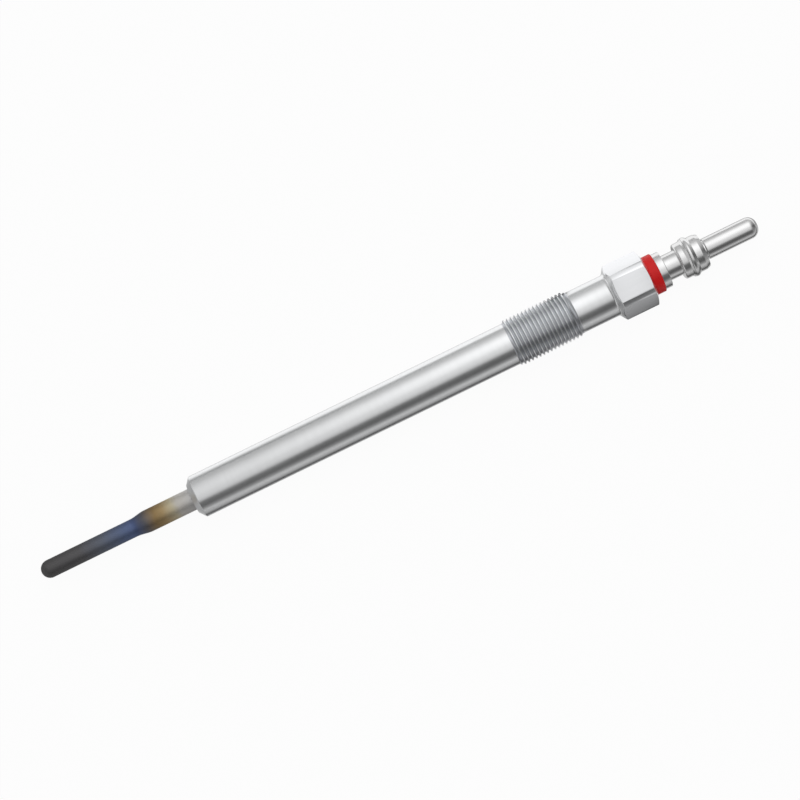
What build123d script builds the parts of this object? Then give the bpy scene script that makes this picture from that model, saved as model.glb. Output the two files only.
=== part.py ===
from build123d import *
import os
from math import radians, tan

# A sheathed-element glow plug for a diesel engine, lying on one flat of its hexagon.
# The plug's axis runs along X: the glowing tip points to -X, the terminal to +X.
# The origin is below the middle of the plug, on the surface that it lies on. Millimetres.

# Glow tube: a closed tube, necked down in front
tip_d = 3.35
tube_d = 4.1
tube_wall = 0.5
nose_wall = 0.8
tip_length = 18.4
taper_length = 2.95
tube_reach = 30.3
tube_length = 47.0

# Housing, from the seat to the hexagon's back face
seat_face_d = 5.4
seat_length = 1.0
seat_edge_break = 0.15
shank_d = 8.0
shank_length = 63.9
thread_d = 8.92
thread_length = 12.65
neck_length = 7.3
neck_fillet = 0.8
hex_af = 9.75
hex_corner_d = 10.7
hex_length = 7.55
hex_front_angle = 28
hex_back_angle = 20
hex_back_d = 7.95

# Stepped bore of the housing
press_length = 13.5
bore_d = 5.2
pocket_d = 5.9
pocket_depth = 3.1

# Coils, welded to the nose and to each other, of wire with a few-sided section
wire_d = 0.35
coil_d = 1.6
wire_sides = 5
heating_pitch = 1.4
heating_turns = 6
control_pitch = 3.2
control_turns = 6
weld_leg_d = 0.38
weld_leg_length = 0.5
weld_gap_angle = 5

# Centre rod and its seals
rod_d = 3.0
rod_front_d = 1.9
rod_step_gap = 0.8
spigot_length = 3.0
rod_grip = 4.6
tube_seal_length = 2.5
seal_ring_length = 1.5
seal_ring_break = 0.25

# Insulating bush
bush_d = 7.4
bush_thickness = 1.8
bush_edge_break = 0.12
bush_spigot_length = 1.5

# Terminal sleeve: flange, neck and latch collar
flange_d = 6.8
flange_thickness = 1.42
flange_edge_break = 0.12
sleeve_neck_d = 4.8
sleeve_neck_length = 2.55
latch_d = 6.8
latch_length = 5.1
latch_face_length = 0.3
latch_end_d = 6.2
latch_end_length = 1.0

# Bead of the latch collar, with a long front, a short back and a steep foot behind it
bead_d = 7.6
bead_crest = 2.16
bead_front = 0.9
bead_back = 0.64
bead_back_d = 7.3
bead_foot = 0.22

# Terminal pin
pin_d = 4.0
pin_length = 10.35
pin_nose_radius = 1.7
pin_shoulder_break = 0.2
pin_root_d = 3.5
pin_root_length = 0.4

# Clearances, on the radius
coil_clearance = 0.03
pocket_clearance = 0.05
rod_clearance = 0.05
seal_clearance = 0.02

# Stations along the axis, from the tip to the end of the pin
front_length = tube_reach + shank_length + thread_length + neck_length + hex_length
sleeve_length = flange_thickness + sleeve_neck_length + latch_length
total_length = front_length + bush_thickness + sleeve_length + pin_root_length + pin_length
x_tip = -total_length / 2
x_taper = x_tip + tip_length
x_seat = x_tip + tube_reach
x_thread = x_seat + shank_length
x_neck = x_thread + thread_length
x_hex = x_neck + neck_length
x_bush = x_hex + hex_length
x_flange = x_bush + bush_thickness
x_sleeve_neck = x_flange + flange_thickness
x_latch = x_sleeve_neck + sleeve_neck_length
x_pin_root = x_latch + latch_length
x_pin = x_pin_root + pin_root_length
x_end = x_pin + pin_length

# Stations of what is inside
x_cavity = x_tip + nose_wall
x_tube_end = x_tip + tube_length
x_tube_seal = x_tube_end - tube_seal_length
x_heating = x_cavity + weld_leg_length
x_control = x_heating + heating_turns * heating_pitch
x_coil_end = x_control + control_turns * control_pitch
x_spigot = x_coil_end - spigot_length
x_rod_front = x_coil_end + wire_d / 2 + coil_clearance
x_rod_main = x_tube_end + rod_step_gap
x_rod_end = x_flange + rod_grip
x_pocket = x_bush - pocket_depth

axis_height = hex_af / 2
plug_axis = Axis((0, 0, axis_height), (1, 0, 0))
# Half-sections are drawn on this plane, as station along the axis and radius
section = Plane(origin=(0, 0, axis_height), x_dir=(1, 0, 0), z_dir=(0, -1, 0))


def across(x):
    """Plane across the axis at station x, its own x along Y and its own y along Z."""
    return Plane(origin=(x, 0, axis_height), x_dir=(0, 1, 0), z_dir=(1, 0, 0))


def top_corner(sketch, x):
    """Outermost corner of a half-section at station x, where y is the radius."""
    at_station = [corner for corner in sketch.vertices() if abs(corner.X - x) < 0.001]
    return max(at_station, key=lambda corner: corner.Y)


# Housing
hex_front_run = (hex_corner_d - shank_d) / 2 * tan(radians(hex_front_angle))
hex_back_run = (hex_corner_d - hex_back_d) / 2 * tan(radians(hex_back_angle))
thread_chamfer = (thread_d - shank_d) / 2

with BuildPart() as housing:
    # Turned outside, with the fine thread as a plain collar of its outer diameter
    with BuildSketch(section) as outside:
        with BuildLine():
            Polyline(
                (x_seat, 0),
                (x_seat, seat_face_d / 2),
                (x_seat + seat_length, shank_d / 2),
                (x_thread, shank_d / 2),
                (x_thread + thread_chamfer, thread_d / 2),
                (x_neck - thread_chamfer, thread_d / 2),
                (x_neck, shank_d / 2),
                (x_hex, shank_d / 2),
                (x_hex + hex_front_run, hex_corner_d / 2),
                (x_bush - hex_back_run, hex_corner_d / 2),
                (x_bush, hex_back_d / 2),
                (x_bush, 0),
                close=True,
            )
        make_face()
        fillet(top_corner(outside, x_hex), neck_fillet)
        chamfer(top_corner(outside, x_seat), seat_edge_break)
    revolve(axis=plug_axis)
    # Six flats of the hexagon, one of them facing straight down
    with BuildSketch(across(x_hex)):
        Circle(hex_corner_d)
        RegularPolygon(hex_af / 2, 6, major_radius=False, mode=Mode.SUBTRACT)
    extrude(amount=hex_length, mode=Mode.SUBTRACT)
    # Stepped bore: press seat of the tube, long clearance bore, pocket for the seal
    with BuildSketch(section):
        with BuildLine():
            Polyline(
                (x_seat, 0),
                (x_seat, tube_d / 2),
                (x_seat + press_length, tube_d / 2),
                (x_seat + press_length, bore_d / 2),
                (x_pocket, bore_d / 2),
                (x_pocket, pocket_d / 2),
                (x_bush, pocket_d / 2),
                (x_bush, 0),
                close=True,
            )
        make_face()
    revolve(axis=plug_axis, mode=Mode.SUBTRACT)
housing.part.label = "housing"

# Glow tube, with a round nose and a thicker end wall
cavity_tip_radius = tip_d / 2 - tube_wall
cavity_radius = tube_d / 2 - tube_wall
nose_centre = x_tip + tip_d / 2
x_full = x_taper + taper_length
cavity_edge = (
    (x_cavity, 0),
    (x_cavity, cavity_tip_radius),
    (x_taper, cavity_tip_radius),
    (x_full, cavity_radius),
)

with BuildPart() as glow_tube:
    with BuildSketch(section):
        with BuildLine():
            CenterArc((nose_centre, 0), tip_d / 2, 90, 90)
            Line((nose_centre, tip_d / 2), (x_taper, tip_d / 2))
            Spline((x_taper, tip_d / 2), (x_full, tube_d / 2), tangents=((1, 0), (1, 0)))
            Polyline((x_full, tube_d / 2), (x_tube_end, tube_d / 2), (x_tube_end, 0), (x_tip, 0))
        make_face()
    revolve(axis=plug_axis)
    with BuildSketch(section):
        with BuildLine():
            Polyline(*cavity_edge, (x_tube_end, cavity_radius), (x_tube_end, 0), close=True)
        make_face()
    revolve(axis=plug_axis, mode=Mode.SUBTRACT)
glow_tube.part.label = "glow_tube"

# Heating coil, in the necked front of the tube, with a short leg welded to the nose
heating_path = Helix(
    pitch=heating_pitch,
    height=heating_turns * heating_pitch,
    radius=coil_d / 2,
    center=(x_heating, 0, axis_height),
    direction=(1, 0, 0),
)
leg_point = heating_path @ 0
leg_plane = Plane(origin=(x_cavity, leg_point.Y, leg_point.Z), z_dir=(1, 0, 0))
with BuildPart() as heating_coil:
    with BuildSketch(Plane(origin=leg_point, z_dir=heating_path % 0)):
        RegularPolygon(wire_d / 2, wire_sides)
    sweep(path=heating_path, is_frenet=True)
    with BuildSketch(leg_plane):
        Circle(weld_leg_d / 2)
    extrude(amount=weld_leg_length + weld_leg_d / 2)
heating_coil.part.label = "heating_coil"

# Control coil, welded end to end with the heating coil, its last turns round the rod
control_path = Helix(
    pitch=control_pitch,
    height=control_turns * control_pitch,
    radius=coil_d / 2,
    center=(x_control, 0, axis_height),
    direction=(1, 0, 0),
).rotate(plug_axis, weld_gap_angle)
with BuildPart() as control_coil:
    with BuildSketch(Plane(origin=control_path @ 0, z_dir=control_path % 0)):
        RegularPolygon(wire_d / 2, wire_sides)
    sweep(path=control_path, is_frenet=True)
control_coil.part.label = "control_coil"

# Centre rod, from the control coil to the inside of the terminal sleeve
channel_outer = (coil_d + wire_d) / 2 + coil_clearance
channel_inner = (coil_d - wire_d) / 2 - coil_clearance

with BuildPart() as centre_rod:
    with BuildSketch(section):
        with BuildLine():
            Polyline(
                (x_spigot, 0),
                (x_spigot, channel_inner),
                (x_rod_front, channel_inner),
                (x_rod_front, rod_front_d / 2),
                (x_rod_main, rod_front_d / 2),
                (x_rod_main, rod_d / 2),
                (x_rod_end, rod_d / 2),
                (x_rod_end, 0),
                close=True,
            )
        make_face()
    revolve(axis=plug_axis)
centre_rod.part.label = "centre_rod"

# Insulating powder: fills the tube up to its seal, with a ring-shaped channel for the coils
x_channel = x_heating - wire_d / 2 - coil_clearance

with BuildPart() as insulating_powder:
    with BuildSketch(section):
        with BuildLine():
            Polyline(
                *cavity_edge,
                (x_tube_seal, cavity_radius),
                (x_tube_seal, rod_front_d / 2),
                (x_rod_front, rod_front_d / 2),
                (x_rod_front, channel_outer),
                (x_channel, channel_outer),
                (x_channel, channel_inner),
                (x_spigot, channel_inner),
                (x_spigot, 0),
                close=True,
            )
        make_face()
    revolve(axis=plug_axis)
    with BuildSketch(leg_plane):
        Circle(weld_leg_d / 2)
    extrude(amount=weld_leg_length, mode=Mode.SUBTRACT)
insulating_powder.part.label = "insulating_powder"

# Seal in the open end of the tube
with BuildPart() as tube_seal:
    with BuildSketch(across(x_tube_seal)):
        Circle(cavity_radius)
        Circle(rod_front_d / 2, mode=Mode.SUBTRACT)
    extrude(amount=tube_seal_length)
tube_seal.part.label = "tube_seal"

# Seal ring at the bottom of the housing's pocket, round the rod
ring_width = (pocket_d - rod_d) / 2 - 2 * seal_clearance

with BuildPart() as seal_ring:
    with BuildSketch(section) as ring_section:
        with Locations((x_pocket + seal_ring_length / 2, (pocket_d + rod_d) / 4)):
            Rectangle(seal_ring_length, ring_width)
        chamfer(ring_section.vertices(), seal_ring_break)
    revolve(axis=plug_axis)
seal_ring.part.label = "seal_ring"

# Insulating bush: the visible ring and its spigot in the pocket
with BuildPart() as insulating_bush:
    with BuildSketch(section) as bush_section:
        with BuildLine():
            Polyline(
                (x_bush - bush_spigot_length, rod_d / 2 + rod_clearance),
                (x_bush - bush_spigot_length, pocket_d / 2 - pocket_clearance),
                (x_bush, pocket_d / 2 - pocket_clearance),
                (x_bush, bush_d / 2),
                (x_flange, bush_d / 2),
                (x_flange, rod_d / 2 + rod_clearance),
                close=True,
            )
        make_face()
        chamfer(top_corner(bush_section, x_bush), bush_edge_break)
        chamfer(top_corner(bush_section, x_flange), bush_edge_break)
    revolve(axis=plug_axis)
insulating_bush.part.label = "insulating_bush"

# Terminal sleeve: flange, neck and latch collar, crimped on the rod
x_bead = x_latch + bead_crest
x_bead_back = x_bead + bead_back
x_latch_curve = x_pin_root - latch_end_length

with BuildPart() as terminal_sleeve:
    with BuildSketch(section) as sleeve_section:
        with BuildLine():
            Polyline(
                (x_flange, rod_d / 2),
                (x_flange, flange_d / 2),
                (x_sleeve_neck, flange_d / 2),
                (x_sleeve_neck, sleeve_neck_d / 2),
                (x_latch, sleeve_neck_d / 2),
                (x_latch + latch_face_length, latch_d / 2),
                (x_bead - bead_front, latch_d / 2),
            )
            ThreePointArc(
                (x_bead - bead_front, latch_d / 2),
                (x_bead, bead_d / 2),
                (x_bead_back, bead_back_d / 2),
            )
            Polyline(
                (x_bead_back, bead_back_d / 2),
                (x_bead_back + bead_foot, latch_d / 2),
                (x_latch_curve, latch_d / 2),
            )
            TangentArc(
                (x_latch_curve, latch_d / 2),
                (x_pin_root, latch_end_d / 2),
                tangent=(1, 0),
            )
            Polyline(
                (x_pin_root, latch_end_d / 2),
                (x_pin_root, rod_d / 2),
                (x_flange, rod_d / 2),
            )
        make_face()
        chamfer(top_corner(sleeve_section, x_sleeve_neck), flange_edge_break)
    revolve(axis=plug_axis)
terminal_sleeve.part.label = "terminal_sleeve"

# Terminal pin: round-nosed contact with a stem in the sleeve
with BuildPart() as terminal_pin:
    with BuildSketch(section) as pin_section:
        with BuildLine():
            Polyline(
                (x_rod_end, 0),
                (x_rod_end, rod_d / 2),
                (x_pin_root, rod_d / 2),
                (x_pin_root, pin_root_d / 2),
                (x_pin, pin_root_d / 2),
                (x_pin, pin_d / 2),
                (x_end, pin_d / 2),
                (x_end, 0),
                close=True,
            )
        make_face()
        fillet(top_corner(pin_section, x_end), pin_nose_radius)
        chamfer(top_corner(pin_section, x_pin), pin_shoulder_break)
    revolve(axis=plug_axis)
terminal_pin.part.label = "terminal_pin"

pieces = (
    housing,
    glow_tube,
    heating_coil,
    control_coil,
    centre_rod,
    insulating_powder,
    tube_seal,
    seal_ring,
    insulating_bush,
    terminal_sleeve,
    terminal_pin,
)

os.makedirs("parts", exist_ok=True)
for piece in pieces:
    export_step(piece.part, f"parts/{piece.part.label}.step")
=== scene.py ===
"""Looks of a diesel glow plug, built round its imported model.

The classes hold their sizes in millimetres, in the model's own frame: the plug's axis runs along X,
the glowing tip points to -X and the terminal pin to +X. Blender's objects are in metres.
"""

from __future__ import annotations

import logging
import math
from dataclasses import dataclass, field
from enum import Enum, IntEnum
from typing import Callable, Mapping, Sequence

import bmesh
import bpy
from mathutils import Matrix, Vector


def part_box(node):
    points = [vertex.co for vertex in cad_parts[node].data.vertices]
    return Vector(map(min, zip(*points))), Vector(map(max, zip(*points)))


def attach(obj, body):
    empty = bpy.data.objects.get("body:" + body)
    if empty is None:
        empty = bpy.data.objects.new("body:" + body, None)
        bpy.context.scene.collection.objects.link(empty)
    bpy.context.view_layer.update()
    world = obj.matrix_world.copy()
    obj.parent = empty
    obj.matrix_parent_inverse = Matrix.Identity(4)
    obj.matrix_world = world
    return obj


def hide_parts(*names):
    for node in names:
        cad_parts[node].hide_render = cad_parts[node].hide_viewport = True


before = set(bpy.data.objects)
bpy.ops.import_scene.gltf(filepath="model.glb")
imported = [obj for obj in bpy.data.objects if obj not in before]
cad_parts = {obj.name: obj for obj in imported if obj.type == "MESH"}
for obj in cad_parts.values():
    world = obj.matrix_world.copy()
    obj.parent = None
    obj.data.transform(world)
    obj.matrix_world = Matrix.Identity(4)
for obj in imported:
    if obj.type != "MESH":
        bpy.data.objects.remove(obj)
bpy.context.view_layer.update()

log = logging.getLogger("glow_plug")

MM = 0.001
BODY = "root"
SIDES = 128

Point = tuple[float, float]
Corner = tuple[float, float, float]
Colour = tuple[float, float, float]
Waves = float | tuple[float, float, float]


# Measures shared by the pieces


def span(node: str) -> tuple[float, float]:
    """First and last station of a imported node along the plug's axis, in millimetres.

    Args:
        node: Name of the node.

    Returns:
        Its lowest and highest X.
    """
    low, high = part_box(node)
    return low[0] / MM, high[0] / MM


def axis_height() -> float:
    """Height of the plug's axis above the floor, half way up the hexagon, in millimetres."""
    low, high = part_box("housing")
    return (low[2] + high[2]) / 2 / MM


def linear(red: int, green: int, blue: int) -> Colour:
    """Scene-linear colour of a screen colour.

    Args:
        red: Screen red from 0 to 255.
        green: Screen green from 0 to 255.
        blue: Screen blue from 0 to 255.

    Returns:
        The three linear values.
    """
    shares = [part / 255 for part in (red, green, blue)]
    return tuple(s / 12.92 if s <= 0.04045 else ((s + 0.055) / 1.055) ** 2.4 for s in shares)


# Outlines


def rounded(corners: Sequence[Corner], step: float = 11.0) -> list[Point]:
    """Replaces the corners of an outline by arcs.

    Args:
        corners: Station, radius and rounding of each corner, in order.
        step: Largest turn between two neighbouring points of an arc, in degrees.

    Returns:
        The outline's points, as station and radius.
    """
    outline: list[Point] = []
    for index, (x, r, rounding) in enumerate(corners):
        if rounding == 0 or index in (0, len(corners) - 1):
            outline.append((x, r))
            continue
        before, after = corners[index - 1], corners[index + 1]
        back = math.atan2(before[1] - r, before[0] - x)
        ahead = math.atan2(after[1] - r, after[0] - x)
        opening = math.remainder(ahead - back, math.tau)
        turn = math.pi - abs(opening)
        reach = rounding * math.tan(turn / 2)
        middle = back + opening / 2
        away = rounding / math.cos(turn / 2)
        centre = (x + away * math.cos(middle), r + away * math.sin(middle))
        start = (x + reach * math.cos(back), r + reach * math.sin(back))
        end = (x + reach * math.cos(ahead), r + reach * math.sin(ahead))
        first = math.atan2(start[1] - centre[1], start[0] - centre[0])
        last = math.atan2(end[1] - centre[1], end[0] - centre[0])
        sweep = math.remainder(last - first, math.tau)
        count = max(2, math.ceil(math.degrees(abs(sweep)) / step))
        for part in range(count + 1):
            angle = first + sweep * part / count
            outline.append((centre[0] + rounding * math.cos(angle), centre[1] + rounding * math.sin(angle)))
    return outline


def swell(start: Point, end: Point, count: int) -> list[Point]:
    """Smooth step between two radii that leaves and arrives along the axis.

    Args:
        start: First point, as station and radius.
        end: Last point.
        count: Number of steps.

    Returns:
        The points from start to end, both included.
    """
    run, rise = end[0] - start[0], end[1] - start[1]
    shares = [part / count for part in range(count + 1)]
    return [(start[0] + run * s, start[1] + rise * s * s * (3 - 2 * s)) for s in shares]


# Meshes


@dataclass
class TurnedForm:
    """Rings of points round the plug's axis, skinned into one closed mesh.

    Attributes:
        height: Height of the axis above the floor.
        angles: Directions of a ring's points, right-handed about +X and counted from +Y, in radians.
        points: Points of the mesh, in metres.
        faces: Faces of the mesh, as numbers of points.
        finishes: Number of each face's material.
    """

    height: float
    angles: list[float]
    points: list[tuple[float, float, float]] = field(default_factory=list)
    faces: list[tuple[int, ...]] = field(default_factory=list)
    finishes: list[int] = field(default_factory=list)

    def point(self, station: float, radius: float, angle: float) -> int:
        """Adds one point.

        Args:
            station: Place along the axis.
            radius: Distance from the axis.
            angle: Direction round the axis.

        Returns:
            The point's number.
        """
        side = radius * math.cos(angle)
        rise = self.height + radius * math.sin(angle)
        self.points.append((station * MM, side * MM, rise * MM))
        return len(self.points) - 1

    def ring(self, shape: Callable[[float], Point]) -> list[int]:
        """Adds a ring whose station and radius depend on the direction.

        Args:
            shape: Gives the station and radius for an angle.

        Returns:
            Numbers of the ring's points.
        """
        return [self.point(*shape(angle), angle) for angle in self.angles]

    def circle(self, station: float, radius: float) -> list[int]:
        """Adds a round ring, or the single point on the axis where the radius is zero.

        Args:
            station: Place along the axis.
            radius: Distance from the axis.

        Returns:
            Numbers of the ring's points.
        """
        if radius == 0:
            return [self.point(station, 0, 0)]
        return self.ring(lambda angle: (station, radius))

    def face(self, corners: Sequence[int], finish: int) -> None:
        """Adds a face, without the corners that coincide.

        Args:
            corners: Numbers of its points.
            finish: Number of its material.
        """
        kept = tuple(dict.fromkeys(corners))
        if len(kept) > 2:
            self.faces.append(kept)
            self.finishes.append(finish)

    def skin(self, rings: Sequence[list[int]], finish: int = 0) -> None:
        """Joins neighbouring rings by faces.

        Args:
            rings: The rings in order.
            finish: Number of the faces' material.
        """
        for near, far in zip(rings, rings[1:]):
            for index in range(len(self.angles)):
                corners = ((near, index), (far, index), (far, index + 1), (near, index + 1))
                self.face([ring[place % len(ring)] for ring, place in corners], finish)

    def shell(self, outline: Sequence[Point], closed: bool, finish: int = 0) -> None:
        """Turns an outline round the axis.

        Args:
            outline: Its points, as station and radius.
            closed: Whether the last point is joined to the first.
            finish: Number of the faces' material.
        """
        rings = [self.circle(*place) for place in outline]
        self.skin(rings + rings[:1] if closed else rings, finish)

    def build(
        self, name: str, materials: Sequence[bpy.types.Material], crease: float = 24.0
    ) -> bpy.types.Object:
        """Makes the object, smooth but for its edges.

        Args:
            name: Name of the object.
            materials: Its materials, in the order of the faces' numbers.
            crease: Turn from which an edge stays sharp, in degrees.

        Returns:
            The object, linked to the scene.
        """
        mesh = bpy.data.meshes.new(name)
        mesh.from_pydata(self.points, [], self.faces)
        for material in materials:
            mesh.materials.append(material)
        work = bmesh.new()
        work.from_mesh(mesh)
        work.faces.ensure_lookup_table()
        for face, finish in zip(work.faces, self.finishes):
            face.smooth = True
            face.material_index = finish
        bmesh.ops.recalc_face_normals(work, faces=work.faces)
        for edge in work.edges:
            edge.smooth = edge.calc_face_angle(math.pi) < math.radians(crease)
        work.to_mesh(mesh)
        work.free()
        piece = bpy.data.objects.new(name, mesh)
        bpy.context.scene.collection.objects.link(piece)
        log.info("%s: %d points, %d faces", name, len(mesh.vertices), len(mesh.polygons))
        return piece


def even_angles(count: int) -> list[float]:
    """Directions spaced evenly round the axis, in radians."""
    return [math.tau * index / count for index in range(count)]


def settle(piece: bpy.types.Object, node: str) -> None:
    """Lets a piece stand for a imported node.

    Args:
        piece: The piece.
        node: The node that it replaces.
    """
    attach(piece, BODY)
    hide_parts(node)


# Shader nodes


@dataclass(frozen=True)
class Value:
    """A number that varies over a surface, held as a node's output."""

    recipe: "Recipe"
    socket: bpy.types.NodeSocket

    def __add__(self, other: "Value | float") -> "Value":
        """Sum."""
        return self.recipe.maths("ADD", self, other)

    __radd__ = __add__

    def __sub__(self, other: "Value | float") -> "Value":
        """Difference."""
        return self.recipe.maths("SUBTRACT", self, other)

    def __rsub__(self, other: float) -> "Value":
        """Difference from a plain number."""
        return self.recipe.maths("SUBTRACT", other, self)

    def __mul__(self, other: "Value | float") -> "Value":
        """Product."""
        return self.recipe.maths("MULTIPLY", self, other)

    __rmul__ = __mul__

    def __truediv__(self, other: "Value | float") -> "Value":
        """Quotient."""
        return self.recipe.maths("DIVIDE", self, other)

    def swing(self, width: float) -> "Value":
        """Swing round zero that a noise between 0 and 1 gives, from end to end as wide as told."""
        return width * (self - 0.5)


class Recipe:
    """Node tree of one material or of the world, emptied for its own nodes."""

    def __init__(self, owner: bpy.types.Material | bpy.types.World) -> None:
        """Takes over a node tree.

        Args:
            owner: Material or world that the tree belongs to.
        """
        owner.use_nodes = True
        self.tree = owner.node_tree
        self.tree.nodes.clear()

    def add(
        self,
        kind: str,
        settings: Mapping[str, object] | None = None,
        sockets: Mapping[int | str, object] | None = None,
    ) -> bpy.types.Node:
        """Adds a node.

        Args:
            kind: The node's type.
            settings: Its own settings, where stops are a ramp's places and colours.
            sockets: Values or links of its inputs, by name or number.

        Returns:
            The node.
        """
        node = self.tree.nodes.new(kind)
        for name, setting in (settings or {}).items():
            if name == "stops":
                self._fill(node.color_ramp, setting)
            else:
                setattr(node, name, setting)
        for name, given in (sockets or {}).items():
            if isinstance(given, Value):
                self.tree.links.new(given.socket, node.inputs[name])
            elif isinstance(given, bpy.types.NodeSocket):
                self.tree.links.new(given, node.inputs[name])
            else:
                node.inputs[name].default_value = given
        return node

    @staticmethod
    def _fill(ramp: bpy.types.ColorRamp, stops: Sequence[tuple[float, Colour]]) -> None:
        """Gives a ramp its stops.

        Args:
            ramp: The ramp.
            stops: Place and colour of each stop, in order.
        """
        ramp.elements[0].position = stops[0][0]
        ramp.elements[1].position = stops[-1][0]
        for place, _ in stops[1:-1]:
            ramp.elements.new(place)
        for element, (_, colour) in zip(ramp.elements, stops):
            element.color = (*colour, 1.0)

    def maths(self, operation: str, *terms: Value | float, clamp: bool = False) -> Value:
        """Adds a Math node.

        Args:
            operation: What it does.
            terms: Its inputs.
            clamp: Whether the result stays between 0 and 1.

        Returns:
            Its result.
        """
        settings = {"operation": operation, "use_clamp": clamp}
        return Value(self, self.add("ShaderNodeMath", settings, dict(enumerate(terms))).outputs[0])

    def vector(self, operation: str, *terms: object) -> bpy.types.NodeSocket:
        """Adds a Vector Math node on two vectors.

        Args:
            operation: What it does.
            terms: Its inputs.

        Returns:
            The resulting vector.
        """
        return self.add("ShaderNodeVectorMath", {"operation": operation}, dict(enumerate(terms))).outputs[0]

    def place(self, height: float) -> bpy.types.NodeSocket:
        """Position on the plug in millimetres, counted from its axis.

        Args:
            height: Height of the axis above the floor.

        Returns:
            The position.
        """
        metres = self.add("ShaderNodeTexCoord").outputs["Object"]
        lengths = self.vector("MULTIPLY", metres, (1 / MM, 1 / MM, 1 / MM))
        return self.vector("SUBTRACT", lengths, (0.0, 0.0, height))

    def parts(self, vector: bpy.types.NodeSocket) -> tuple[Value, Value, Value]:
        """The three numbers of a vector."""
        outputs = self.add("ShaderNodeSeparateXYZ", sockets={0: vector}).outputs
        return Value(self, outputs[0]), Value(self, outputs[1]), Value(self, outputs[2])

    def noise(self, vector: bpy.types.NodeSocket, waves: Waves, detail: float = 2.0) -> Value:
        """Noise between 0 and 1 round a half.

        Args:
            vector: Where it is read.
            waves: Waves per unit, one number or one along each axis.
            detail: Number of finer layers.

        Returns:
            The noise.
        """
        stretch = (waves,) * 3 if isinstance(waves, float) else waves
        scaled = self.vector("MULTIPLY", vector, stretch)
        sockets = {"Vector": scaled, "Scale": 1.0, "Detail": detail, "Roughness": 0.55}
        return Value(self, self.add("ShaderNodeTexNoise", sockets=sockets).outputs[0])

    def between(self, value: Value, low: float, high: float) -> Value:
        """Smooth rise from 0 to 1.

        Args:
            value: What is looked at.
            low: Value at which the result is 0.
            high: Value at which it is 1.

        Returns:
            The smooth share.
        """
        settings = {"interpolation_type": "SMOOTHSTEP"}
        sockets = {"Value": value, "From Min": low, "From Max": high}
        return Value(self, self.add("ShaderNodeMapRange", settings, sockets).outputs[0])

    def ramp(self, share: Value, stops: Sequence[tuple[float, Colour]]) -> bpy.types.NodeSocket:
        """Looks a colour up in a row of them.

        Args:
            share: Where it is looked up, from 0 to 1.
            stops: Place and colour of each stop, in order.

        Returns:
            The colour.
        """
        return self.add("ShaderNodeValToRGB", {"stops": stops}, {0: share}).outputs[0]

    def graded(self, value: Value, levels: Sequence[Point]) -> bpy.types.NodeSocket:
        """Looks a grey up in a row of levels.

        Args:
            value: Where it is looked up, in the row's own measure.
            levels: Place and level of each stop, in order.

        Returns:
            The grey.
        """
        start, reach = levels[0][0], levels[-1][0] - levels[0][0]
        stops = [((place - start) / reach, (level, level, level)) for place, level in levels]
        return self.ramp((value - start) / reach, stops)

    def mix(self, share: Value | float, first: object, second: object) -> bpy.types.NodeSocket:
        """Mixes two colours.

        Args:
            share: Share of the second one.
            first: A colour or a colour output.
            second: A colour or a colour output.

        Returns:
            The mixed colour.
        """
        sockets = {0: share, 6: self._colour(first), 7: self._colour(second)}
        return self.add("ShaderNodeMix", {"data_type": "RGBA"}, sockets).outputs[2]

    def tint(self, colour: object, share: Value) -> bpy.types.NodeSocket:
        """Multiplies a colour by a number that varies.

        Args:
            colour: A colour or a colour output.
            share: The number.

        Returns:
            The resulting colour.
        """
        grey = self.add("ShaderNodeCombineXYZ", sockets={0: share, 1: share, 2: share}).outputs[0]
        settings = {"data_type": "RGBA", "blend_type": "MULTIPLY"}
        return self.add("ShaderNodeMix", settings, {0: 1.0, 6: self._colour(colour), 7: grey}).outputs[2]

    @staticmethod
    def _colour(given: object) -> object:
        """A colour with its fourth number, or the output as it is."""
        return (*given, 1.0) if isinstance(given, tuple) else given

    def relief(self, height: Value, depth: float) -> bpy.types.NodeSocket:
        """Fine relief of a surface.

        Args:
            height: The relief, from 0 to 1.
            depth: Its depth in millimetres.

        Returns:
            The bent normal.
        """
        sockets = {"Strength": 1.0, "Distance": depth * MM, "Height": height}
        return self.add("ShaderNodeBump", sockets=sockets).outputs[0]

    def surface(self, **sockets: object) -> None:
        """Adds the surface shader and the output.

        Args:
            **sockets: Inputs of the shader, with low lines for the spaces in their names.
        """
        named = {name.replace("_", " "): given for name, given in sockets.items()}
        shader = self.add("ShaderNodeBsdfPrincipled", sockets=named)
        self.add("ShaderNodeOutputMaterial", sockets={"Surface": shader.outputs[0]})


# Finishes


class Grain(Enum):
    """Direction of a metal's fine tool marks, as waves per millimetre along and across the axis."""

    TURNED = (7.0, 0.35)
    DRAWN = (0.3, 5.0)

    def waves(self, longer: float = 1.0, wider: float = 1.0) -> Waves:
        """Waves of the marks along each axis, also for marks that are longer and wider."""
        along, across = self.value
        return along / longer, across / wider, across / wider


@dataclass(frozen=True)
class Finish:
    """What a surface is made of.

    Attributes:
        name: Name of the material.
    """

    name: str

    def material(self, height: float) -> bpy.types.Material:
        """Makes the material.

        Args:
            height: Height of the plug's axis above the floor.

        Returns:
            The material.
        """
        made = bpy.data.materials.new(self.name)
        recipe = Recipe(made)
        self.dress(recipe, recipe.place(height))
        return made

    def dress(self, recipe: Recipe, place: bpy.types.NodeSocket) -> None:
        """Adds the nodes of the finish.

        Args:
            recipe: The material's node tree.
            place: Position on the plug in millimetres.
        """
        raise NotImplementedError


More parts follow.
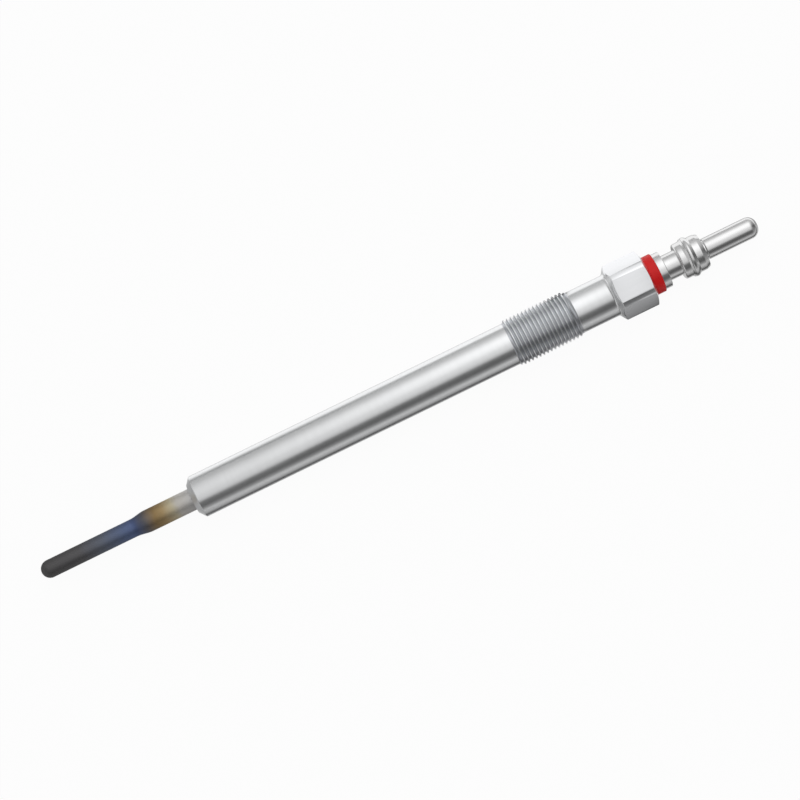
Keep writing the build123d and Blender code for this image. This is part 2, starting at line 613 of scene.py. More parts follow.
@dataclass(frozen=True)
class PlatedMetal(Finish):
    """Satin plating over turned or formed metal.

    Attributes:
        colour: Linear colour of the metal.
        roughness: Mean roughness.
        grain: Direction of the tool marks.
        depth: Depth of the tool marks in millimetres.
        cloud: How much the tone varies in patches.
        speckle: Depth of the plating's fine grain in millimetres.
    """

    colour: Colour
    roughness: float
    grain: Grain
    depth: float = 0.0004
    cloud: float = 0.05
    speckle: float = 0.00012

    def dress(self, recipe: Recipe, place: bpy.types.NodeSocket) -> None:
        """Adds the nodes of the plating.

        Args:
            recipe: The material's node tree.
            place: Position on the plug in millimetres.
        """
        marks = recipe.noise(place, self.grain.waves(), detail=3.0)
        broad = recipe.noise(place, self.grain.waves(longer=6.0, wider=2.0))
        patches = recipe.noise(place, (0.22, 0.3, 0.3), detail=3.0)
        grit = recipe.noise(place, 9.0, detail=1.0)
        recipe.surface(
            Base_Color=recipe.tint(self.colour, 1.0 + patches.swing(self.cloud) + broad.swing(self.cloud)),
            Metallic=1.0,
            Roughness=self.roughness * (1.0 + patches.swing(0.25) + marks.swing(0.15)),
            Normal=recipe.relief(marks * self.depth + grit * self.speckle, depth=1.0),
        )


@dataclass(frozen=True)
class ThreadMetal(Finish):
    """Plating on the thread: darkened in the grooves by painted shade, rubbed bright on the crests.

    Attributes:
        shaded_groove: Linear colour at the root, darkened as painted shade.
        crest: Linear colour of the rubbed crest.
        root_radius: Radius at the root.
        crest_radius: Radius at the crest.
        rubbed_unshaded_from: Share of the thread's height from which the painted shade gives way to the
            rubbed crest.
        rubbed_unshaded_to: Distance below the crest from which it is fully rubbed, without painted shade.
        roughness: Mean roughness in the grooves.
        polish: How much smoother the crests are.
    """

    shaded_groove: Colour
    crest: Colour
    root_radius: float
    crest_radius: float
    rubbed_unshaded_from: float = 0.72
    rubbed_unshaded_to: float = 0.01
    roughness: float = 0.3
    polish: float = 0.06

    def dress(self, recipe: Recipe, place: bpy.types.NodeSocket) -> None:
        """Adds the nodes of the thread's metal.

        Args:
            recipe: The material's node tree.
            place: Position on the plug in millimetres.
        """
        _, y, z = recipe.parts(place)
        patches = recipe.noise(place, (0.5, 0.6, 0.6), detail=3.0)
        grit = recipe.noise(place, 6.0)
        radius = recipe.maths("SQRT", y * y + z * z) + patches.swing(0.05)
        # The groove colour below the crests is painted shade; the crests are rubbed bright.
        start = self.root_radius + self.rubbed_unshaded_from * (self.crest_radius - self.root_radius)
        rubbed = recipe.between(radius, start, self.crest_radius - self.rubbed_unshaded_to)
        toned = recipe.mix(rubbed, self.shaded_groove, self.crest)
        recipe.surface(
            Base_Color=recipe.tint(toned, 1.0 + patches.swing(0.24)),
            Metallic=1.0,
            Roughness=self.roughness - self.polish * rubbed + grit.swing(0.1),
            Normal=recipe.relief(grit, depth=0.002),
        )


@dataclass(frozen=True)
class TemperedMetal(Finish):
    """Glow tube after its first heats: sooty grey, steel blue, bronze, straw and bare metal.

    Attributes:
        tip: Station of the tube's tip.
        tones: Distance from the tip in millimetres and linear colour of each tone.
        bare: Shares of the tones' run between which the metal turns bare.
        wander: How far the tones wander in patches, in millimetres.
        speckle: How far they wander in the mottle.
    """

    tip: float
    tones: tuple[tuple[float, Colour], ...]
    bare: Point = (0.62, 0.86)
    wander: float = 1.2
    speckle: float = 0.35

    def dress(self, recipe: Recipe, place: bpy.types.NodeSocket) -> None:
        """Adds the nodes of the heat tints.

        Args:
            recipe: The material's node tree.
            place: Position on the plug in millimetres.
        """
        x, _, _ = recipe.parts(place)
        patches = recipe.noise(place, (0.35, 0.5, 0.5), detail=3.0)
        mottle = recipe.noise(place, 1.6, detail=3.0)
        marks = recipe.noise(place, (0.5, 6.0, 6.0))
        grit = recipe.noise(place, 7.0)
        distance = x - self.tip + patches.swing(self.wander) + mottle.swing(self.speckle)
        reach = self.tones[-1][0]
        tones = recipe.ramp(distance / reach, [(start / reach, colour) for start, colour in self.tones])
        bare = recipe.between(distance, self.bare[0] * reach, self.bare[1] * reach)
        recipe.surface(
            Base_Color=recipe.tint(tones, 1.0 + mottle.swing(0.2)),
            Metallic=0.75 + 0.15 * bare,
            Roughness=0.5 + 0.04 * bare + mottle.swing(0.12),
            Normal=recipe.relief(0.5 * marks + grit, depth=0.003),
        )


@dataclass(frozen=True)
class MouldedPlastic(Finish):
    """Glass-filled moulded insulator with a soft gloss.

    Attributes:
        colour: Linear colour.
        deep: Linear colour of its darker clouds.
        roughness: Mean roughness.
    """

    colour: Colour
    deep: Colour
    roughness: float

    def dress(self, recipe: Recipe, place: bpy.types.NodeSocket) -> None:
        """Adds the nodes of the plastic.

        Args:
            recipe: The material's node tree.
            place: Position on the plug in millimetres.
        """
        clouds = recipe.noise(place, 0.8, detail=3.0)
        grit = recipe.noise(place, 5.0, detail=3.0)
        recipe.surface(
            Base_Color=recipe.mix(clouds, self.deep, self.colour),
            Roughness=self.roughness + grit.swing(0.2),
            Specular_IOR_Level=0.42,
            Normal=recipe.relief(grit, depth=0.005),
        )


@dataclass(frozen=True)
class InnerFinish(Finish):
    """Finish of a piece inside the plug.

    Attributes:
        light: Linear colour of its light patches.
        dark: Linear colour of its dark patches.
        roughness: Mean roughness.
        waves: Patches per millimetre.
        metallic: Share of metal.
        depth: Depth of its relief in millimetres.
    """

    light: Colour
    dark: Colour
    roughness: float
    waves: float
    metallic: float = 1.0
    depth: float = 0.002

    def dress(self, recipe: Recipe, place: bpy.types.NodeSocket) -> None:
        """Adds the nodes of the inner finish.

        Args:
            recipe: The material's node tree.
            place: Position on the plug in millimetres.
        """
        patches = recipe.noise(place, self.waves, detail=4.0)
        recipe.surface(
            Base_Color=recipe.mix(patches, self.dark, self.light),
            Metallic=self.metallic,
            Roughness=self.roughness + patches.swing(0.15),
            Normal=recipe.relief(patches, self.depth),
        )


# Pieces of the plug


class Zone(IntEnum):
    """Parts of the housing with a finish of their own, in the order of its materials."""

    SHANK = 0
    THREAD = 1
    HEXAGON = 2
    CONE = 3
    SEAT = 4


@dataclass
class Housing:
    """Steel housing: seat cone, long shank, fine thread, neck and hexagon, with its stepped bore.

    The thread's profile is given as shares of its pitch and of its height. The rolls are the rounded
    edges of the flats: each point's way along the axis and way in, as shares of the edge's size.
    """

    height: float
    seat_face: float = 5.5
    seat_length: float = 1.0
    seat_break: float = 0.12
    seat_fillet: float = 0.22
    shank: float = 8.0
    shank_length: float = 63.9
    thread: float = 8.92
    thread_root: float = 8.08
    pitch: float = 0.75
    thread_length: float = 12.65
    thread_lead: float = 0.2
    thread_phase: float = 0.27
    run_out: float = 0.5
    neck_length: float = 7.3
    neck_fillet: float = 0.6
    cone_lead: float = 0.12
    cone_rise: float = 0.75
    flats: float = 9.75
    corners: float = 10.7
    front_angle: float = 34.0
    back_angle: float = 20.0
    back_face: float = 7.95
    back_break: float = 0.04
    edge: float = 0.08
    flat_edge: float = 0.22
    front_roll: tuple[Point, ...] = ((-0.2, 0.53), (0.12, 0.2), (0.46, 0.04), (0.9, 0.0))
    back_roll: tuple[Point, ...] = ((0.9, 0.0), (0.12, 0.2))
    strip_parts: int = 4
    flat_parts: int = 20
    tube: float = 4.1
    press_length: float = 13.5
    bore: float = 5.2
    pocket: float = 5.9
    pocket_depth: float = 3.1
    thread_profile: tuple[Point, ...] = (
        *((0.0, 0.0), (0.09, 0.0), (0.135, 0.05), (0.385, 0.95), (0.42, 1.0)),
        *((0.5, 1.0), (0.58, 1.0), (0.615, 0.95), (0.865, 0.05), (0.91, 0.0)),
    )
    thread_gap: float = 0.01

    def angles(self) -> list[float]:
        """Directions that meet the edges between the flats and the turned corners.

        Returns:
            The directions in radians.
        """
        flat = 2 * math.degrees(math.acos(self.flats / self.corners))
        strip = 60 - flat
        degrees = []
        for corner in range(0, 360, 60):
            for start, width, parts in (
                (corner - strip / 2, strip, self.strip_parts),
                (corner + strip / 2, flat, self.flat_parts),
            ):
                degrees += [start + width * part / parts for part in range(parts)]
        return [math.radians(angle) for angle in degrees]

    def flat_radius(self, angle: float) -> float:
        """Radius of the hexagon with its turned corners in one direction."""
        turn = math.remainder(angle - math.radians(30), math.radians(60))
        return min(self.corners / 2, self.flats / 2 / math.cos(turn))

    def cut_thread(
        self, form: TurnedForm, start: float, end: float, first: list[int], last: list[int]
    ) -> None:
        """Winds the thread between two rings, from two turns before the first to a turn past the last.

        Args:
            form: The mesh under way.
            start: Station of the first ring.
            end: Station of the last ring.
            first: The ring before the thread.
            last: The ring after it.
        """
        per_turn = len(self.thread_profile)
        before, past = 2, 1
        turns = before + math.ceil(self.thread_length / self.pitch) + past
        root = self.thread_root / 2
        tall = (self.thread - self.thread_root) / 2
        shank = self.shank / 2
        columns: list[list[int]] = []
        for column, angle in enumerate(form.angles):
            line = []
            for index in range(turns * per_turn):
                share, rise = self.thread_profile[index % per_turn]
                turn = index // per_turn - before + share + angle / math.tau + self.thread_phase
                station = start + turn * self.pitch
                if station <= start + self.thread_gap:
                    line.append(first[column])
                elif station >= end - self.thread_gap:
                    line.append(last[column])
                else:
                    limit = shank + min(station - start, self.run_out * (end - station))
                    line.append(form.point(station, min(root + rise * tall, limit), angle))
            columns.append(line)
        for column, line in enumerate(columns):
            beside = columns[(column + 1) % len(columns)]
            shift = per_turn if beside is columns[0] else 0
            for index in range(len(line) - 1):
                near = beside[index + shift] if index + shift < len(beside) else last[0]
                far = beside[index + 1 + shift] if index + 1 + shift < len(beside) else last[0]
                form.face((line[index], line[index + 1], far, near), Zone.THREAD)

    def hexagon_rings(self, form: TurnedForm, hexagon: float, back: float) -> list[list[int]]:
        """Rings of the hexagon from its front cone to its back face, with broken edges.

        Args:
            form: The mesh under way.
            hexagon: Station where the neck meets the front cone.
            back: Station of the back face.

        Returns:
            The rings in order.
        """
        front_slope = math.tan(math.radians(self.front_angle))
        back_slope = math.tan(math.radians(self.back_angle))
        neck, face = self.shank / 2, self.back_face / 2

        def front(radius: float) -> float:
            """Station of the front cone at a radius."""
            return hexagon + (radius - neck) * front_slope

        def rear(radius: float) -> float:
            """Station of the back cone at a radius."""
            return back - (radius - face) * back_slope

        cut = self.edge
        full = self.flat_radius

        def roll(angle: float) -> float:
            """Size of the front edge's rounding, which is widest in the middle of a flat."""
            return cut + self.flat_edge * (self.corners - 2 * full(angle)) / (self.corners - self.flats)

        rings = [form.ring(lambda a: (front(full(a) - roll(a)), full(a) - roll(a)))]
        for way, drop in self.front_roll:
            rings.append(form.ring(lambda a: (front(full(a)) + way * roll(a), full(a) - drop * roll(a))))
        for way, drop in self.back_roll:
            rings.append(form.ring(lambda a: (rear(full(a)) - way * cut, full(a) - drop * cut)))
        rings.append(form.ring(lambda a: (rear(full(a) - cut), full(a) - cut)))
        rings.append(form.circle(back - self.back_break, face + self.back_break / 2))
        rings.append(form.circle(back, face - self.back_break))
        return rings

    def build(self, materials: Sequence[bpy.types.Material]) -> bpy.types.Object:
        """Builds the housing as one closed mesh.

        Args:
            materials: Those of its zones, in order.

        Returns:
            The piece.
        """
        seat, back = span("housing")
        thread = seat + self.shank_length - self.thread_lead
        neck = thread + self.thread_lead + self.thread_length
        hexagon = neck + self.neck_length - self.cone_lead
        radius = self.shank / 2
        form = TurnedForm(self.height, self.angles())
        front = rounded(
            [
                (seat, self.tube / 2, 0),
                (seat, self.seat_face / 2, self.seat_break),
                (seat + self.seat_length, radius, self.seat_fillet),
                (thread, radius, 0),
            ]
        )
        shank = [form.circle(*place) for place in front]
        cone = sum(1 for x, _ in front if x < seat + self.seat_length)
        form.skin(shank[:cone], Zone.SEAT)
        form.skin(shank[cone - 1 :], Zone.SHANK)
        slope = math.tan(math.radians(self.front_angle))
        lip = rounded(
            [
                (neck, radius, 0),
                (hexagon, radius, self.neck_fillet),
                (hexagon + slope * self.cone_rise, radius + self.cone_rise, 0),
            ]
        )
        throat = [form.circle(*place) for place in lip[:-1]]
        form.skin(throat, Zone.SHANK)
        self.cut_thread(form, thread, neck, shank[-1], throat[0])
        head = self.hexagon_rings(form, hexagon, back)
        form.skin([throat[-1], head[0]], Zone.CONE)
        form.skin(head, Zone.HEXAGON)
        inside = [
            (back, self.pocket / 2),
            (back - self.pocket_depth, self.pocket / 2),
            (back - self.pocket_depth, self.bore / 2),
            (seat + self.press_length, self.bore / 2),
            (seat + self.press_length, self.tube / 2),
        ]
        bore = [form.circle(*place) for place in inside]
        form.skin([head[-1], *bore, shank[0]], Zone.SHANK)
        piece = form.build("housing_plated", materials)
        settle(piece, "housing")
        return piece


@dataclass
class GlowTube:
    """Closed tube with a round nose, necked down over its front."""

    height: float
    tip: float = 3.35
    tube: float = 4.1
    wall: float = 0.5
    nose_wall: float = 0.8
    nose_steps: int = 14
    tip_length: float = 18.4
    taper_length: float = 2.95
    taper_steps: int = 16
    rear_edge: float = 0.1

    def build(self, material: bpy.types.Material) -> bpy.types.Object:
        """Builds the tube.

        Args:
            material: Its tempered metal.

        Returns:
            The piece.
        """
        start, end = span("glow_tube")
        nose, radius = self.tip / 2, self.tube / 2
        taper = start + self.tip_length
        full = taper + self.taper_length
        turns = [math.pi * (1 - part / (2 * self.nose_steps)) for part in range(self.nose_steps + 1)]
        outline = [(start + nose + nose * math.cos(turn), nose * math.sin(turn)) for turn in turns]
        outline[0] = (start, 0)
        outline += swell((taper, nose), (full, radius), self.taper_steps)
        inner = radius - self.wall
        outline += rounded([(full + 1, radius, 0), (end, radius, self.rear_edge), (end, inner, 0)])
        outline += [
            (full, inner),
            (taper, nose - self.wall),
            (start + self.nose_wall, nose - self.wall),
            (start + self.nose_wall, 0),
        ]
        form = TurnedForm(self.height, even_angles(SIDES))
        form.shell(outline, closed=False)
        piece = form.build("glow_tube_tempered", [material])
        settle(piece, "glow_tube")
        return piece


@dataclass
class InsulatingBush:
    """Red insulating ring with its spigot."""

    height: float
    outer: float = 7.4
    edge: float = 0.13
    rod_hole: float = 3.1
    spigot: float = 5.8
    spigot_length: float = 1.5
    spigot_edge: float = 0.1

    def build(self, material: bpy.types.Material) -> bpy.types.Object:
        """Builds the bush.

        Args:
            material: Its moulded plastic.

        Returns:
            The piece.
        """
        start, end = span("insulating_bush")
        face = start + self.spigot_length
        outline = rounded(
            [
                (start, self.rod_hole / 2, 0),
                (start, self.spigot / 2, self.spigot_edge),
                (face, self.spigot / 2, 0),
                (face, self.outer / 2, self.edge),
                (end, self.outer / 2, self.edge),
                (end, self.rod_hole / 2, 0),
            ]
        )
        form = TurnedForm(self.height, even_angles(SIDES))
        form.shell(outline, closed=True)
        piece = form.build("insulating_bush_moulded", [material])
        settle(piece, "insulating_bush")
        return piece


@dataclass
class TerminalSleeve:
    """Flange, neck and latch collar with its rolled bead.

    The bead's ramp and notch are given by their corners: the way before the bead's crest, the height
    over the collar and the rounding. The crest's front and back are angles in degrees.
    """

    height: float
    rod: float = 3.0
    flange: float = 6.8
    flange_thickness: float = 1.42
    flange_edges: tuple[float, float] = (0.06, 0.13)
    neck: float = 4.8
    neck_length: float = 2.55
    neck_fillets: tuple[float, float] = (0.12, 0.05)
    latch: float = 6.8
    latch_set_back: float = 0.09
    face_length: float = 0.04
    latch_edge: float = 0.44
    latch_end: float = 6.22
    latch_end_length: float = 0.74
    latch_end_edges: tuple[float, float] = (0.2, 0.06)
    bead: float = 7.6
    bead_crest: float = 2.4
    crest_radius: float = 0.68
    crest_front: float = 31.0
    crest_back: float = 35.0
    crest_steps: int = 16
    ramp: tuple[Corner, ...] = ((1.02, 0.0, 0.15), (0.81, 0.05, 0.1), (0.49, 0.32, 0.03), (0.39, 0.19, 0.0))
    bead_back: float = 0.78
    bead_fillet: float = 0.05
    sides: int = 144

    def build(self, material: bpy.types.Material) -> bpy.types.Object:
        """Builds the sleeve.

        Args:
            material: Its plated metal.

        Returns:
            The piece.
        """
        start, end = span("terminal_sleeve")
        neck = start + self.flange_thickness
        latch = neck + self.neck_length
        bead = latch + self.bead_crest
        top = self.latch / 2
        outline = rounded(
            [
                (start, self.rod / 2, 0),
                (start, self.flange / 2, self.flange_edges[0]),
                (neck, self.flange / 2, self.flange_edges[1]),
                (neck, self.neck / 2, self.neck_fillets[0]),
                (latch + self.latch_set_back, self.neck / 2, self.neck_fillets[1]),
                (latch + self.latch_set_back + self.face_length, top, self.latch_edge),
                *((bead - before, top + rise, rounding) for before, rise, rounding in self.ramp),
            ]
        )
        crest = self.crest_radius
        low = self.bead / 2 - crest
        swing = self.crest_front + self.crest_back
        for part in range(self.crest_steps + 1):
            turn = math.radians(-self.crest_front + swing * part / self.crest_steps)
            outline.append((bead + crest * math.sin(turn), low + crest * math.cos(turn)))
        outline += rounded(
            [
                (*outline[-1], 0),
                (bead + self.bead_back, top, self.bead_fillet),
                (end - self.latch_end_length, top, self.latch_end_edges[0]),
                (end, self.latch_end / 2, self.latch_end_edges[1]),
                (end, self.rod / 2, 0),
            ]
        )[1:]
        form = TurnedForm(self.height, even_angles(self.sides))
        form.shell(outline, closed=True)
        piece = form.build("terminal_sleeve_plated", [material])
        settle(piece, "terminal_sleeve")
        return piece


@dataclass
class TerminalPin:
    """Round-nosed contact pin with its stem in the sleeve."""

    height: float
    rod: float = 3.0
    pin: float = 4.0
    pin_length: float = 10.35
    nose: float = 1.7
    shoulder: float = 0.2
    root: float = 3.5
    root_length: float = 0.4
    root_fillet: float = 0.06

    def build(self, material: bpy.types.Material) -> bpy.types.Object:
        """Builds the pin.

        Args:
            material: Its plated metal.

        Returns:
            The piece.
        """
        start, end = span("terminal_pin")
        shoulder = end - self.pin_length
        root = shoulder - self.root_length
        outline = rounded(
            [
                (start, 0, 0),
                (start, self.rod / 2, 0),
                (root, self.rod / 2, 0),
                (root, self.root / 2, 0),
                (shoulder, self.root / 2, self.root_fillet),
                (shoulder, self.pin / 2, self.shoulder),
                (end, self.pin / 2, self.nose),
                (end, 0, 0),
            ],
            step=7.0,
        )
        form = TurnedForm(self.height, even_angles(SIDES))
        form.shell(outline, closed=False)
        piece = form.build("terminal_pin_plated", [material])
        settle(piece, "terminal_pin")
        return piece


@dataclass
class InnerPieces:
    """Pieces hidden inside the plug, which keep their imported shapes."""

    height: float
    finishes: Mapping[str, InnerFinish]

    def dress(self) -> None:
        """Gives each inner piece its finish."""
        for node, finish in self.finishes.items():
            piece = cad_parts[node]
            piece.data.materials.clear()
            piece.data.materials.append(finish.material(self.height))
            log.info("%s: %s", node, finish.name)


# Studio


@dataclass
class Studio:
    """White floor, graded sky, fill lamp, a graded board that glows with painted shade and painted highlights
    seen only in reflections, and the camera straight over the plug.

    Sizes and depths of the sheets, the lamp and the camera are in metres, places on the board in
    millimetres. A pair says where a change starts and where it is complete.

    Attributes:
        floor_lift: Share of plain white that the camera and reflections see in the floor.
        floor_depth: How far the floor lies below the plug.
        board_depth: How far the board lies below the plug.
        board: Place across the plug and level of the board, which paints the plug's reflections: painted
            shade on the -Y side and a painted highlight on the +Y side.
        board_with_hexagon_shadow: The same beside the hexagon's front, where the hexagon's painted shadow
            darkens the +Y side.
        patch_start: Where that painted shadow patch begins along the plug.
        patch_end: Where it ends.
        patch_lead: How much sooner it begins on the near side.
        patch_lead_width: Width over which it grows that much.
        tip_side: Where the board turns to its even level, counted towards the tip.
        tip_level: That level, by the glow tube.
        fade: How much the board's far side fades towards the seat, a painted dimming of its painted
            highlight.
        fade_across: Where the fade comes in across the plug.
        fade_along: Where it comes in, counted towards the tip.
        sky_left: Angle from overhead across the plug and level of the sky towards the tip.
        sky_right: The same towards the pin.
        sky_change: Where the one turns to the other, as a share of the sky's radius.
        sky_ahead: Height and level of the sky beyond the tip.
        ahead: Where that sky takes over towards the tip.
        sky_behind: Level of the sky beyond the pin, what both sides add, and what the far side adds.
        behind: Where that sky takes over towards the pin.
        sight: Nearest and farthest distance that the camera sees.
    """

    floor_size: float = 60.0
    floor_colour: Colour = (0.92, 0.92, 0.92)
    floor_lift: float = 0.95
    floor_depth: float = 0.00003
    board_size: float = 0.6
    board_depth: float = 0.00001
    board: tuple[Point, ...] = (
        *((-90.0, 0.52), (-30.0, 0.48), (-17.0, 0.3), (-14.0, 0.16), (-12.0, 0.06), (-9.0, 0.08)),
        *((-7.4, 0.45), (-5.5, 0.6), (-3.0, 0.6), (0.0, 0.4), (3.0, 0.3), (5.5, 0.55)),
        *((7.0, 1.0), (9.0, 1.06), (19.0, 1.16), (26.0, 0.62), (32.0, 0.44), (90.0, 0.45)),
    )
    board_with_hexagon_shadow: tuple[Point, ...] = (
        *((-90.0, 0.45), (-30.0, 0.48), (-17.0, 0.3), (-12.0, 0.15), (-10.2, 0.3), (-9.4, 0.75)),
        *((-7.0, 0.75), (-3.0, 0.55), (0.0, 0.4), (3.0, 0.3), (5.5, 0.06), (13.5, 0.04)),
        *((16.5, 0.6), (20.0, 1.0), (26.0, 0.62), (32.0, 0.44), (90.0, 0.45)),
    )
    patch_start: Point = (31.4, 32.4)
    patch_end: Point = (35.6, 36.2)
    patch_lead: float = 2.8
    patch_lead_width: float = 3.0
    tip_side: Point = (43.0, 48.0)
    tip_level: float = 0.38
    fade: float = 0.35
    fade_across: Point = (10.0, 20.0)
    fade_along: Point = (-10.0, 40.0)
    sky_left: tuple[Point, ...] = (
        *((-110.0, 0.5), (-89.0, 0.45), (-74.0, 0.5), (-60.0, 0.58), (-48.0, 0.64), (-35.0, 0.7)),
        *((-23.0, 0.74), (-11.0, 0.74), (0.0, 0.7), (13.0, 0.7), (26.0, 0.54), (33.0, 0.15)),
        *((60.0, 0.11), (74.0, 0.28), (86.0, 0.54), (110.0, 0.54)),
    )
    sky_right: tuple[Point, ...] = (
        *((-110.0, 0.6), (-89.0, 0.52), (-74.0, 0.68), (-60.0, 1.02), (-48.0, 1.3), (-35.0, 1.36)),
        *((-23.0, 1.28), (-11.0, 1.08), (0.0, 0.86), (13.0, 0.78), (26.0, 0.52), (33.0, 0.13)),
        *((60.0, 0.09), (74.0, 0.27), (86.0, 0.54), (110.0, 0.56)),
    )
    sky_change: Point = (-0.16, 0.1)
    sky_ahead: tuple[Point, ...] = (
        *((0.0, 0.36), (0.12, 0.42), (0.24, 0.8), (0.36, 0.72)),
        *((0.5, 0.2), (0.8, 0.16), (0.92, 0.5), (1.0, 0.7)),
    )
    ahead: Point = (0.28, 0.72)
    sky_behind: tuple[float, float, float] = (0.08, 0.55, 0.15)
    behind: Point = (0.25, 0.82)
    fill_size: float = 0.7
    fill_power: float = 1.1
    fill_place: tuple[float, float, float] = (0.1, 0.25, 0.9)
    fill_turn: tuple[float, float, float] = (-0.27, 0.11, 0.0)
    lens: float = 112.5
    sensor: float = 36.0
    sight: Point = (0.01, 20.0)
    turn: float = -26.0
    camera_place: tuple[float, float, float] = (0.0, -0.00032, 0.4555)

    def sheet(self, name: str, size: float, depth: float, material: bpy.types.Material) -> bpy.types.Object:
        """Lays a square sheet of the studio.

        Args:
            name: Its name.
            size: Its side in metres.
            depth: How far it lies below the plug.
            material: Its material.

        Returns:
            The sheet.
        """
        half = size / 2
        mesh = bpy.data.meshes.new(name)
        corners = [(-half, -half, -depth), (half, -half, -depth), (half, half, -depth), (-half, half, -depth)]
        mesh.from_pydata(corners, [], [(0, 1, 2, 3)])
        mesh.materials.append(material)
        sheet = bpy.data.objects.new(name, mesh)
        bpy.context.scene.collection.objects.link(sheet)
        return sheet

    def lay_floor(self) -> None:
        """Lays the floor, which shows white and keeps the plug's shadow."""
        made = bpy.data.materials.new("studio_floor")
        recipe = Recipe(made)
        path = recipe.add("ShaderNodeLightPath").outputs
        seen = Value(recipe, path["Is Camera Ray"]) + Value(recipe, path["Is Glossy Ray"])
        through = Value(recipe, path["Is Transmission Ray"])
        share = self.floor_lift * recipe.maths("ADD", seen, through, clamp=True)
        paper = recipe.add("ShaderNodeBsdfDiffuse", sockets={0: (*self.floor_colour, 1.0)})
        glow = recipe.add("ShaderNodeEmission", sockets={0: (1.0, 1.0, 1.0, 1.0), 1: 1.0})
        both = recipe.add("ShaderNodeMixShader", sockets={0: share, 1: paper.outputs[0], 2: glow.outputs[0]})
        recipe.add("ShaderNodeOutputMaterial", sockets={"Surface": both.outputs[0]})
        self.sheet("floor", self.floor_size, self.floor_depth, made)

    def lay_board(self) -> None:
        """Lays a glowing board under the plug, seen only in its reflections, whose graded levels are painted
        shade and painted highlights in them.
        """
        made = bpy.data.materials.new("painted_reflection_board")
        recipe = Recipe(made)
        x, y, _ = recipe.parts(recipe.place(0.0))
        # The patch is the hexagon's painted shadow on the board, begun sooner on the near side.
        start = x + self.patch_lead * recipe.between(-1.0 * y, 0.0, self.patch_lead_width)
        near = recipe.between(start, *self.patch_start) * (1.0 - recipe.between(x, *self.patch_end))
        graded = recipe.mix(near, recipe.graded(y, self.board), recipe.graded(y, self.board_with_hexagon_shadow))
        # The fade dims the far side's painted highlight towards the seat.
        faded = recipe.between(y, *self.fade_across) * recipe.between(-1.0 * x, *self.fade_along)
        across = recipe.tint(graded, 1.0 - self.fade * faded)
        away = recipe.between(-1.0 * x, *self.tip_side)
        shown = recipe.mix(away, across, (self.tip_level, self.tip_level, self.tip_level))
        # The board's glow is painted shade and painted highlight, seen only in the plug's reflections.
        glow = recipe.add("ShaderNodeEmission", sockets={0: shown, 1: 1.0})
        recipe.add("ShaderNodeOutputMaterial", sockets={"Surface": glow.outputs[0]})
        board = self.sheet("painted_reflection_board", self.board_size, self.board_depth, made)
        board.visible_camera = False
        board.visible_diffuse = False
        board.visible_shadow = False
        board.visible_transmission = False

    def light_sky(self) -> None:
        """Lights the plug by a soft sky that is bright above one side and dark above the other."""
        world = bpy.data.worlds.new("soft_sky")
        bpy.context.scene.world = world
        recipe = Recipe(world)
        x, y, z = recipe.parts(recipe.add("ShaderNodeTexCoord").outputs["Generated"])
        tilt = recipe.maths("ARCTAN2", -1.0 * y, z) / math.radians(1.0)
        left, right = recipe.graded(tilt, self.sky_left), recipe.graded(tilt, self.sky_right)
        above = recipe.mix(recipe.between(x, *self.sky_change), left, right)
        least, sides, far = self.sky_behind
        behind = recipe.tint((1.0, 1.0, 1.0), least + sides * recipe.maths("ABSOLUTE", y) + far * y)
        front = recipe.mix(recipe.between(-1.0 * x, *self.ahead), above, recipe.graded(z, self.sky_ahead))
        whole = recipe.mix(recipe.between(x, *self.behind), front, behind)
        light = recipe.add("ShaderNodeBackground", sockets={0: whole, 1: 1.0})
        recipe.add("ShaderNodeOutputWorld", sockets={"Surface": light.outputs[0]})

    def hang_fill(self) -> None:
        """Hangs a wide lamp overhead that brings dull colours up to their plain level."""
        light = bpy.data.lights.new("fill", "AREA")
        light.shape = "DISK"
        light.size = self.fill_size
        light.energy = self.fill_power
        lamp = bpy.data.objects.new("fill", light)
        lamp.location = self.fill_place
        lamp.rotation_euler = self.fill_turn
        lamp.visible_glossy = False
        bpy.context.scene.collection.objects.link(lamp)

    def set_camera(self) -> None:
        """Sets the camera straight over the plug, turned as in the photograph."""
        camera = bpy.data.cameras.new("camera")
        camera.lens = self.lens
        camera.sensor_width = self.sensor
        camera.clip_start, camera.clip_end = self.sight
        holder = bpy.data.objects.new("camera", camera)
        holder.location = self.camera_place
        holder.rotation_euler = (0.0, 0.0, math.radians(self.turn))
        bpy.context.scene.collection.objects.link(holder)
        bpy.context.scene.camera = holder

    def build(self) -> None:
        """Builds the studio."""
        bpy.context.scene.view_settings.view_transform = "Standard"
        self.set_camera()
        self.lay_floor()
        self.lay_board()
        self.light_sky()
        self.hang_fill()


def temper_tones() -> tuple[tuple[float, Colour], ...]:
    """Heat tints of the glow tube.

    Returns:
        Distance from the tip in millimetres and linear colour of each tint.
    """
    seen = (
        (0.0, (94, 93, 93)),
        (8.0, (99, 98, 100)),
        (12.4, (106, 112, 125)),
        (16.8, (99, 114, 148)),
        (18.0, (98, 113, 152)),
        (19.0, (86, 100, 137)),
        (20.8, (105, 104, 109)),
        (23.0, (158, 133, 93)),
        (24.4, (180, 156, 115)),
        (26.4, (204, 194, 166)),
        (27.6, (208, 204, 197)),
        (30.3, (205, 204, 203)),
    )
    return tuple((distance, linear(*tone)) for distance, tone in seen)


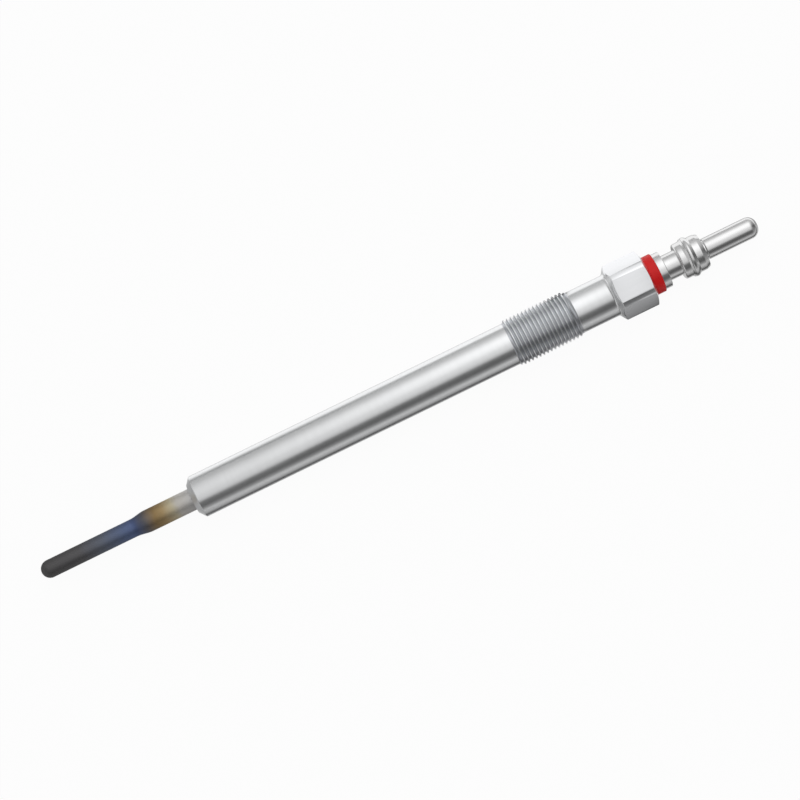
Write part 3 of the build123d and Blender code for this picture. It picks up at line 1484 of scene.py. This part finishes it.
def inner_finishes() -> dict[str, InnerFinish]:
    """Finishes of the pieces inside the plug.

    Returns:
        Each node's finish.
    """
    oxidised = {"roughness": 0.5, "waves": 6.0}
    drawn = {"roughness": 0.35, "waves": 6.0}
    pressed = {"roughness": 0.85, "waves": 5.0, "metallic": 0.0, "depth": 0.02}
    soft = {"roughness": 0.7, "waves": 4.0, "metallic": 0.0, "depth": 0.006}
    wire = InnerFinish("heating_wire_oxidised", (0.32, 0.3, 0.28), (0.16, 0.15, 0.15), **oxidised)
    nickel = InnerFinish("control_wire_nickel", (0.66, 0.62, 0.56), (0.5, 0.47, 0.43), **drawn)
    rod = InnerFinish("rod_steel_drawn", (0.62, 0.62, 0.63), (0.5, 0.5, 0.51), roughness=0.35, waves=3.0)
    powder = InnerFinish("magnesia_pressed", (0.82, 0.81, 0.78), (0.68, 0.67, 0.64), **pressed)
    rubber = InnerFinish("seal_rubber_black", (0.03, 0.03, 0.032), (0.015, 0.015, 0.016), **soft)
    return {
        "heating_coil": wire,
        "control_coil": nickel,
        "centre_rod": rod,
        "insulating_powder": powder,
        "tube_seal": rubber,
        "seal_ring": rubber,
    }


def main() -> None:
    """Builds the studio and every piece."""
    logging.basicConfig(level=logging.INFO, format="%(name)s: %(message)s")
    height = axis_height()
    Studio().build()

    housing = Housing(height)
    steel = linear(236, 237, 238)
    # The groove colour is painted shade, darker than the rubbed crests.
    shaded_groove, crest = linear(198, 200, 204), linear(248, 249, 250)
    finishes = (
        PlatedMetal("plated_shank", steel, roughness=0.25, grain=Grain.TURNED),
        ThreadMetal("plated_thread", shaded_groove, crest, housing.thread_root / 2, housing.thread / 2),
        PlatedMetal("plated_hexagon", linear(241, 242, 244), roughness=0.26, grain=Grain.DRAWN, depth=0.001),
        PlatedMetal("plated_cone", linear(216, 217, 218), roughness=0.4, grain=Grain.TURNED, depth=0.0002),
        PlatedMetal("plated_seat", steel, roughness=0.34, grain=Grain.TURNED),
    )
    housing.build([finish.material(height) for finish in finishes])

    tip, _ = span("glow_tube")
    GlowTube(height).build(TemperedMetal("tempered_tube", tip, temper_tones()).material(height))

    red = MouldedPlastic("red_insulator_moulded", linear(234, 10, 12), linear(216, 4, 8), roughness=0.5)
    InsulatingBush(height).build(red.material(height))

    contact = PlatedMetal("plated_terminal", linear(229, 229, 229), 0.22, Grain.TURNED, depth=0.0003)
    terminal = contact.material(height)
    TerminalSleeve(height).build(terminal)
    TerminalPin(height).build(terminal)

    InnerPieces(height, inner_finishes()).dress()


if __name__ == "__main__":
    main()
